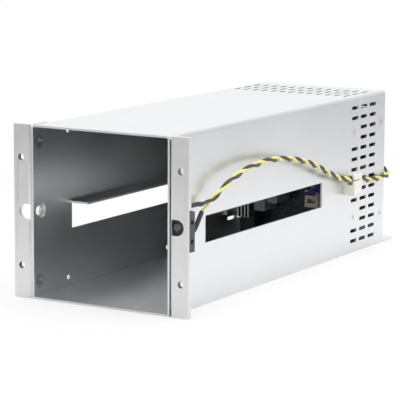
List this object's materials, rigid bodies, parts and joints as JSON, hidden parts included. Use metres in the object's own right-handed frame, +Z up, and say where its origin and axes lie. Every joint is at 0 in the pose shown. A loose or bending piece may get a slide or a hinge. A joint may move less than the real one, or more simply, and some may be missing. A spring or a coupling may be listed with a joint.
{
  "type": "subrack card cage",
  "caption": "Open-fronted folded sheet card cage with front flanges, side windows, vent slots, a backplane for a plug-in module and a wired interlock switch.",
  "frame": {"origin": "centre of the four fixing holes, on the front face of the flanges at half height", "axes": "+X to the right seen from the front, +Y back into the cage, +Z up"},
  "size_m": [0.1022, 0.248, 0.0882],
  "materials": {
    "sheet_steel": "satin zinc-plated sheet",
    "flange_aluminium": "satin anodised",
    "zinc_screw": "zinc plated",
    "bracket_steel": "zinc plated",
    "circuit_board": "dark green solder mask",
    "black_plastic": "moulded",
    "tinned_contact": "tin plated",
    "grey_plastic": "moulded case",
    "red_lacquer": "dipped coating",
    "beige_nylon": "moulded",
    "blue_insulation": "wire insulation",
    "green_plastic": "moulded",
    "white_nylon": "moulded",
    "black_rubber": "moulded",
    "switch_plastic": "moulded",
    "plunger_plastic": "moulded",
    "contact_brass": "spring strip",
    "sleeve_plastic": "shrink sleeve",
    "wire_insulation": "one yellow and one black wire",
    "clip_nylon": "moulded natural nylon",
    "foam": "adhesive foam"
  },
  "bodies": {
    "cage": {"hood": "sheet_steel", "floor_plate": "sheet_steel", "rear_panel": "sheet_steel", "left_flange": "flange_aluminium", "right_flange": "flange_aluminium", "flange_screws": "zinc_screw", "bracket_screws": "zinc_screw", "panel_screws": "zinc_screw", "backplane_screws": "zinc_screw", "switch_screws": "zinc_screw", "terminal_screws": "zinc_screw", "backplane_brackets": "bracket_steel", "backplane": "circuit_board", "module_connector": "black_plastic", "blade_housing": "black_plastic", "module_contacts": "tinned_contact", "power_blades": "tinned_contact", "switch_terminals": "tinned_contact", "filter_capacitors": "grey_plastic", "varistor": "red_lacquer", "harness_header": "beige_nylon", "harness_plug": "beige_nylon", "harness_leads": "blue_insulation", "terminal_header": "green_plastic", "terminal_block": "green_plastic", "switch_header": "white_nylon", "switch_plug": "white_nylon", "cable_grommet": "black_rubber", "switch_case": "switch_plastic", "switch_cover": "switch_plastic", "switch_blade": "contact_brass", "terminal_sleeves": "sleeve_plastic", "switch_cable": "wire_insulation", "cable_clip": "clip_nylon", "clip_pad": "foam"},
    "plunger": {"switch_plunger": "plunger_plastic"}
  },
  "joints": [
    {"name": "plunger_slide", "type": "slide", "parent": "cage", "child": "plunger", "axis": [0, 1, 0], "range_m": [0, 0.0016], "stiffness_N_per_m": 600, "springref_m": -0.001}
  ]
}
